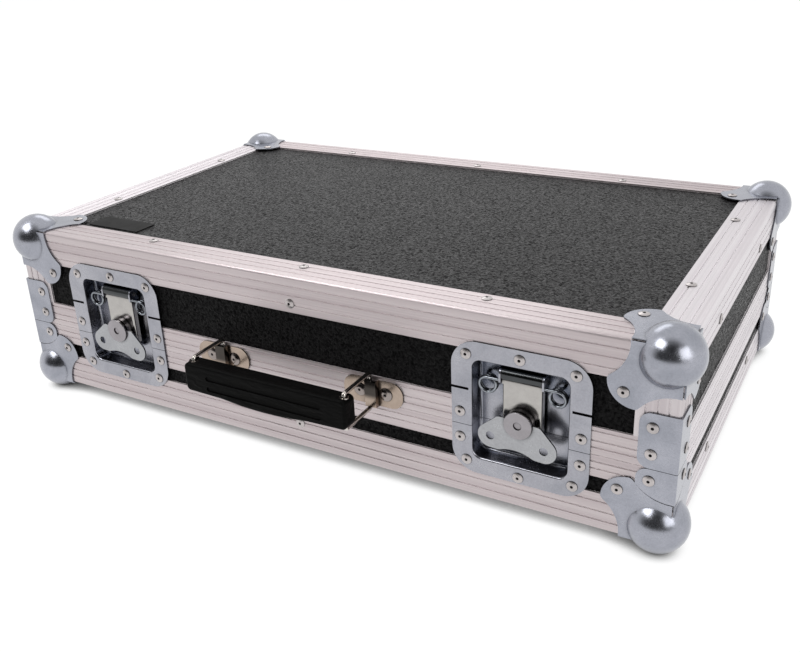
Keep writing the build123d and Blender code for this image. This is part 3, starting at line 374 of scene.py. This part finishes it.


# The finishes of the case

# The top and the walls are two copies of one laminate: painted light makes the top lighter,
# painted shade makes the walls darker; the top is also glossier.
top_panel = laminate(
    "black_laminate", (0.003, 0.0025, 0.0028), (0.013, 0.0115, 0.0125), dull=0.03, glossy=0.27
)
shaded_wall_panel = laminate(
    "wall_laminate_shaded", (0.0025, 0.0024, 0.0026), (0.008, 0.0078, 0.008), dull=0.01, glossy=0.08
)
# The three aluminium copies differ in tone as well as in brush direction: painted light makes the
# pieces along Y lighter, painted shade makes those along X and Z darker.
shaded_metal_x = aluminium("aluminium_along_x_shaded", "X", (0.565, 0.505, 0.51), (0.71, 0.64, 0.645))
lit_metal_y = aluminium("aluminium_along_y_lit", "Y", (0.69, 0.655, 0.675), (0.87, 0.83, 0.85))
shaded_metal_z = aluminium("aluminium_along_z_shaded", "Z", (0.56, 0.515, 0.525), (0.70, 0.655, 0.665))
plated = zinc("zinc_plate", (0.305, 0.317, 0.36), (0.414, 0.422, 0.473))
dish_plate = zinc("zinc_dish", (0.325, 0.33, 0.367), (0.437, 0.436, 0.474), recess=14.0 * MM)
wing_plate = zinc("zinc_wing", (0.345, 0.35, 0.365), (0.43, 0.435, 0.45))
rivet_metal = zinc("rivet_steel", (0.45, 0.42, 0.415), (0.57, 0.53, 0.525), rough=(0.24, 0.36))
bright = nickel("nickel", (0.54, 0.505, 0.47), (0.64, 0.60, 0.56))

# The bridges of the handle plates are painted dark at their upper front: a painted reflection of
# the dark room
plates_low, plates_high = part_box("handle_plates")
bridge_front = plates_low.y
bridge_middle = (plates_low.z + plates_high.z) / 2
bridge_painted_reflection = [
    ("Y", bridge_front + 4.0 * MM, bridge_front + 1.0 * MM),
    ("Z", bridge_middle - 6.0 * MM, bridge_middle),
]
# The warm plates, like the handle rivets below, are also darkened near other parts: painted shade.
warm_plate = nickel(
    "warm_nickel", (0.36, 0.285, 0.235), (0.43, 0.35, 0.29), near=9.0 * MM, dark=bridge_painted_reflection
)
plate_rivets = nickel(
    "handle_rivets", (0.26, 0.225, 0.21), (0.32, 0.28, 0.265), rough=(0.16, 0.28), near=3.0 * MM
)

# The rolled hinge barrel at the top of a latch's arm takes a painted reflection of the dark room
# too
barrel_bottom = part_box("left_arm")[1].z - 9.2 * MM
barrel_painted_reflection = [("Z", barrel_bottom, barrel_bottom + 1.5 * MM)]
arm_plate = nickel("arm_nickel", (0.40, 0.385, 0.37), (0.465, 0.45, 0.43), dark=barrel_painted_reflection)
stud_metal = nickel("stud_nickel", (0.29, 0.275, 0.285), (0.355, 0.335, 0.355), rough=(0.16, 0.28))
# The spring wire is toned darker than the other nickel and darkened near other parts: painted
# shade of the dish's inside.
shaded_spring_wire = nickel(
    "shaded_spring_wire", (0.2, 0.215, 0.24), (0.34, 0.36, 0.39), rough=(0.12, 0.22), near=7.0 * MM
)

grip_plastic = plastic(
    "grip_plastic", (0.001, 0.001, 0.001), (0.003, 0.003, 0.0028), specular=0.05, lumps=0.8
)
label_finish = plastic(
    "label_black", (0.006, 0.006, 0.006), (0.014, 0.0135, 0.013), grain=2400.0, relief=0.12
)
# Near-black discs in the rivet heads: painted shade of their hollow bores.
painted_hole_shade = plastic(
    "rivet_hole_painted_shade", (0.004, 0.004, 0.004), (0.012, 0.011, 0.011), grain=2000.0, relief=0.2
)
foam_grey = foam("foam", (0.02, 0.02, 0.022), (0.055, 0.055, 0.06))

# A node takes the finish of the first row whose words are in its name
FINISHES = (
    ("lid_top_panel", top_panel),
    ("panel", shaded_wall_panel),
    ("corner_angle", shaded_metal_z),
    ("side_angle", lit_metal_y),
    ("side_rim", lit_metal_y),
    ("angle", shaded_metal_x),
    ("rim", shaded_metal_x),
    ("foam", foam_grey),
    ("label_plate", label_finish),
    ("grip_fittings", bright),
    ("grip", grip_plastic),
    ("wing", wing_plate),
    ("dish", dish_plate),
    ("spring", shaded_spring_wire),
    ("handle_plates", warm_plate),
    ("handle_rivets", plate_rivets),
    ("rivets", rivet_metal),
    ("_arm", arm_plate),
    ("_stud", stud_metal),
    ("_ring", bright),
    ("_pins", bright),
    ("", plated),
)

for name, node in nodes.items():
    node.data.materials.clear()
    node.data.materials.append(next(finish for words, finish in FINISHES if words in name))


# Foam pads in place of the plain ones

PAD_GAP = 0.4 * MM
PAD_ROUNDING = 3.0 * MM
PAD_STEP = 14.0 * MM
PAD_CROWN = 0.25 * MM
# Waves of the skin along each axis, as radians to a metre and a phase
PAD_WAVES = ((71.0, 1.3), (83.0, 0.4), (97.0, 0.7))


def solids_of(node):
    """The vertices of each separate solid of a CAD node, as one array of points for each."""
    mesh = node.data
    keys = {}
    index = []
    for vertex in mesh.vertices:
        key = tuple(round(c, 6) for c in vertex.co)
        index.append(keys.setdefault(key, len(keys)))
    root = list(range(len(keys)))

    def find(i):
        while root[i] != i:
            root[i] = root[root[i]]
            i = root[i]
        return i

    for polygon in mesh.polygons:
        first = find(index[polygon.vertices[0]])
        for v in polygon.vertices[1:]:
            root[find(index[v])] = first
            first = find(first)
    points = {}
    for key, i in keys.items():
        points.setdefault(find(i), []).append(key)
    return [np.array(group) for group in points.values()]


def along_axis(axis, length=1.0):
    """A vector of a length along one of the three axes."""
    vector = Vector((0, 0, 0))
    vector[axis] = length
    return vector


def new_piece(name, mesh_builder, material, body):
    """A smooth mesh piece that rides on a body and takes its finish from a slot."""
    for face in mesh_builder.faces:
        face.smooth = True
    mesh = bpy.data.meshes.new(name)
    mesh_builder.to_mesh(mesh)
    mesh_builder.free()
    piece = bpy.data.objects.new(name, mesh)
    scene.collection.objects.link(piece)
    mesh.materials.append(material)
    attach(piece, body)
    return piece


def foam_pad(name, points, body):
    """A pad with softly rounded edges and a slightly uneven, crowned skin."""
    low, high = points.min(0), points.max(0)
    size = high - low
    low, high = low + PAD_GAP, high - PAD_GAP
    made = bmesh.new()
    bmesh.ops.create_cube(made, size=1.0)
    for vertex in made.verts:
        for axis in range(3):
            vertex.co[axis] = low[axis] if vertex.co[axis] < 0 else high[axis]
    bmesh.ops.bevel(
        made, geom=made.edges[:], offset=PAD_ROUNDING, segments=4, profile=0.5, affect="EDGES"
    )
    for axis in range(3):
        count = int(size[axis] / PAD_STEP)
        for i in range(1, count):
            cut = low[axis] + (high[axis] - low[axis]) * i / count
            bmesh.ops.bisect_plane(
                made,
                geom=made.verts[:] + made.edges[:] + made.faces[:],
                plane_co=along_axis(axis, cut),
                plane_no=along_axis(axis),
            )
    thin = int(np.argmin(size))
    middle = (low + high) / 2
    for vertex in made.verts:
        waves = zip(vertex.co, PAD_WAVES)
        wave = math.prod(math.sin(c * pitch + phase) for c, (pitch, phase) in waves)
        side = 1.0 if vertex.co[thin] > middle[thin] else -1.0
        vertex.co[thin] -= side * PAD_CROWN * (1.0 + wave)
    piece = new_piece(name, made, foam_grey, body)
    return piece


for half in ("base", "lid"):
    node = nodes[half + "_foam"]
    for number, points in enumerate(solids_of(node)):
        pad = foam_pad(f"{half}_foam_pad_{number + 1}", points, half)
        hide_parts(half + "_foam")


# Dark discs in the heads of the blind rivets: painted shade of their hollow bores

HOLE_SHADE_RADIUS = 1.15 * MM
# How far the dark disc's rim lies under the top of the rivet's head
HOLE_SHADE_DROP = 0.45 * MM
CUP_DEPTH = 0.5 * MM
CUP_SIDES = 20
# Rings of the cup, as shares of its radius and of its depth
CUP_RINGS = ((1.0, 0.0), (0.7, 0.55), (0.35, 0.9))


def add_cup(made, centre, axis, radius):
    """A small dished disc across an axis, its rim at the centre and its middle deeper."""
    turn = Vector((0, 0, 1)).rotation_difference(axis).to_matrix()
    rings = []
    for share, drop in CUP_RINGS:
        ring = []
        for i in range(CUP_SIDES):
            angle = 2 * math.pi * i / CUP_SIDES
            local = Vector((math.cos(angle) * share * radius, math.sin(angle) * share * radius, 0))
            local.z = -drop * CUP_DEPTH
            ring.append(made.verts.new(centre + turn @ local))
        rings.append(ring)
    tip = made.verts.new(centre - axis * CUP_DEPTH)
    for outer, inner in zip(rings, rings[1:]):
        for i in range(CUP_SIDES):
            j = (i + 1) % CUP_SIDES
            made.faces.new((outer[i], outer[j], inner[j], inner[i]))
    for i in range(CUP_SIDES):
        made.faces.new((rings[-1][i], rings[-1][(i + 1) % CUP_SIDES], tip))


def rivet_hole_shades(name, node, body):
    """Dark discs of painted shade in the open heads of one node's rivets."""
    made = bmesh.new()
    for points in solids_of(node):
        axis = int(np.argmin(points.max(0) - points.min(0)))
        middle = (points.max(0) + points.min(0)) / 2
        across = [a for a in range(3) if a != axis]
        reach = np.hypot(*(points[:, a] - middle[a] for a in across))
        core = points[reach < HOLE_SHADE_RADIUS * 1.2]
        side = 1.0 if core[:, axis].mean() > middle[axis] else -1.0
        head = core[:, axis].max() if side > 0 else core[:, axis].min()
        centre = Vector(middle)
        centre[axis] = head - side * HOLE_SHADE_DROP
        add_cup(made, centre, along_axis(axis, side), HOLE_SHADE_RADIUS * 0.98)
    bmesh.ops.recalc_face_normals(made, faces=made.faces[:])
    return new_piece(name, made, painted_hole_shade, body)


rivet_hole_shades("base_rivet_cores", nodes["base_rivets"], "base")
rivet_hole_shades("lid_rivet_cores", nodes["lid_rivets"], "lid")
rivet_hole_shades("handle_rivet_cores", nodes["handle_rivets"], "lid")


# Floor, light and camera

FLOOR_REACH = 14.0
# The floor lies this far under the case's feet
FLOOR_DROP = 0.2 * MM
# Width of the painted contact shadow: the floor's white is dimmed where the case stands close over
# it
CONTACT_SHADOW = 24.0 * MM
# Share of the floor's own white where it is seen, with the painted contact shadow in it; the rest
# is its lit skin, with the cast shadows
FLOOR_WHITE = 0.86
# Strength of the world's even light on the object
SOFT_LIGHT = 0.5
# Where the room is not lit: in front of the case and above it
DARK_ROOM = Vector((0.08, -0.94, 0.33))


def shows_background(tree):
    """One for rays from the camera and for rays in reflections and through glass."""
    path = tree.nodes.new("ShaderNodeLightPath")
    seen = maths(tree, "MAXIMUM", path.outputs["Is Camera Ray"], path.outputs["Is Glossy Ray"])
    return maths(tree, "MAXIMUM", seen, path.outputs["Is Transmission Ray"])


def pale_floor():
    """A wide floor that shows white, keeps the object's cast shadow and has a painted contact
    shadow in its white.
    """
    made = bmesh.new()
    bmesh.ops.create_grid(made, x_segments=4, y_segments=4, size=FLOOR_REACH)
    mesh = bpy.data.meshes.new("floor")
    made.to_mesh(mesh)
    made.free()
    floor = bpy.data.objects.new("floor", mesh)
    floor.location.z = -FLOOR_DROP
    scene.collection.objects.link(floor)
    s = Shader("pale_floor", roughness=0.75, specular=0.2)
    grain = s.noise(s.place(), scale=25.0)
    s.colour(s.ramp(grain, (0.86, 0.86, 0.86), (0.89, 0.89, 0.89)))
    # Painted contact shadow: the white glow fades where the case is near.
    under = s.openness(CONTACT_SHADOW, FLOOR_SAMPLES)
    glow = smooth_range(s.tree, under, 0.05, 0.6, 0.0, 1.1)
    white = s.node("ShaderNodeEmission", Strength=glow)
    share = s.node("ShaderNodeMath", Value=shows_background(s.tree))
    share.operation = "MULTIPLY"
    share.inputs[1].default_value = FLOOR_WHITE
    skin = s.bsdf.outputs[0]
    shown = add_node(s.tree, "ShaderNodeMixShader", share.outputs[0], skin, white.outputs[0])
    s.tree.links.new(shown.outputs[0], s.tree.nodes["Material Output"].inputs["Surface"])
    mesh.materials.append(s.mat)


def world_light():
    """White to the camera, a soft even light on the object, and a darker room in reflections."""
    world = bpy.data.worlds.new("studio")
    scene.world = world
    world.use_nodes = True
    tree = world.node_tree
    tree.nodes.clear()
    ways = add_node(tree, "ShaderNodeTexCoord")
    room = add_node(tree, "ShaderNodeVectorMath", ways.outputs["Generated"])
    room.operation = "DOT_PRODUCT"
    room.inputs[1].default_value = DARK_ROOM.normalized()
    dark = smooth_range(tree, room.outputs["Value"], 0.3, 0.85, 0.0, 0.97)
    path = add_node(tree, "ShaderNodeLightPath")
    dark = maths(tree, "MULTIPLY", dark, path.outputs["Is Glossy Ray"])
    lit = tree.nodes.new("ShaderNodeMath")
    lit.operation = "SUBTRACT"
    lit.inputs[0].default_value = 1.0
    tree.links.new(dark, lit.inputs[1])
    colour = (*WHITE, 1.0)
    soft = add_node(tree, "ShaderNodeBackground", Color=colour, Strength=SOFT_LIGHT)
    white = add_node(tree, "ShaderNodeBackground", Color=colour, Strength=lit.outputs[0])
    seen = shows_background(tree)
    mix = add_node(tree, "ShaderNodeMixShader", seen, soft.outputs[0], white.outputs[0])
    add_node(tree, "ShaderNodeOutputWorld", mix.outputs[0])


def area_light(name, place, size, power):
    """A soft white box that faces the middle of the case."""
    data = bpy.data.lights.new(name, "AREA")
    data.shape = "RECTANGLE"
    data.size, data.size_y = size
    data.energy = power
    lamp = bpy.data.objects.new(name, data)
    scene.collection.objects.link(lamp)
    lamp.location = place
    way = Vector((0.0, 0.0, 0.08)) - Vector(place)
    lamp.rotation_euler = way.to_track_quat("-Z", "Y").to_euler()


def photo_camera():
    """The camera at the photograph's viewing angle, fitted to the case's own edges."""
    focal_px, image_width = 926.2, 800.0
    centre_shift_px = -17.2
    angle_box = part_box("base_front_angle")
    case_corner = Vector([min(corner[axis] for corner in angle_box) for axis in range(3)])
    place = case_corner + Vector((0.70578, -0.52941, 0.40878))
    forward = Vector((-0.45806, 0.79402, -0.39964)).normalized()
    right = Vector((0.87366, 0.48507, -0.03761))
    right = (right - forward * right.dot(forward)).normalized()
    up = right.cross(forward)
    data = bpy.data.cameras.new("camera")
    data.sensor_width = 36.0
    data.lens = focal_px * data.sensor_width / image_width
    data.shift_y = centre_shift_px / image_width
    data.clip_start = 0.01
    data.clip_end = 100.0
    camera = bpy.data.objects.new("camera", data)
    scene.collection.objects.link(camera)
    turn = Matrix((right, up, -forward)).transposed()
    camera.matrix_world = Matrix.Translation(place) @ turn.to_4x4()
    scene.camera = camera


pale_floor()
world_light()
area_light("key", (-0.9, -1.1, 1.7), size=(1.2, 0.9), power=15.0)
area_light("fill", (1.5, -0.9, 0.9), size=(1.0, 1.0), power=7.0)
area_light("rear", (-1.0, 1.4, 1.6), size=(1.4, 0.8), power=5.0)
photo_camera()
scene.view_settings.view_transform = "Standard"
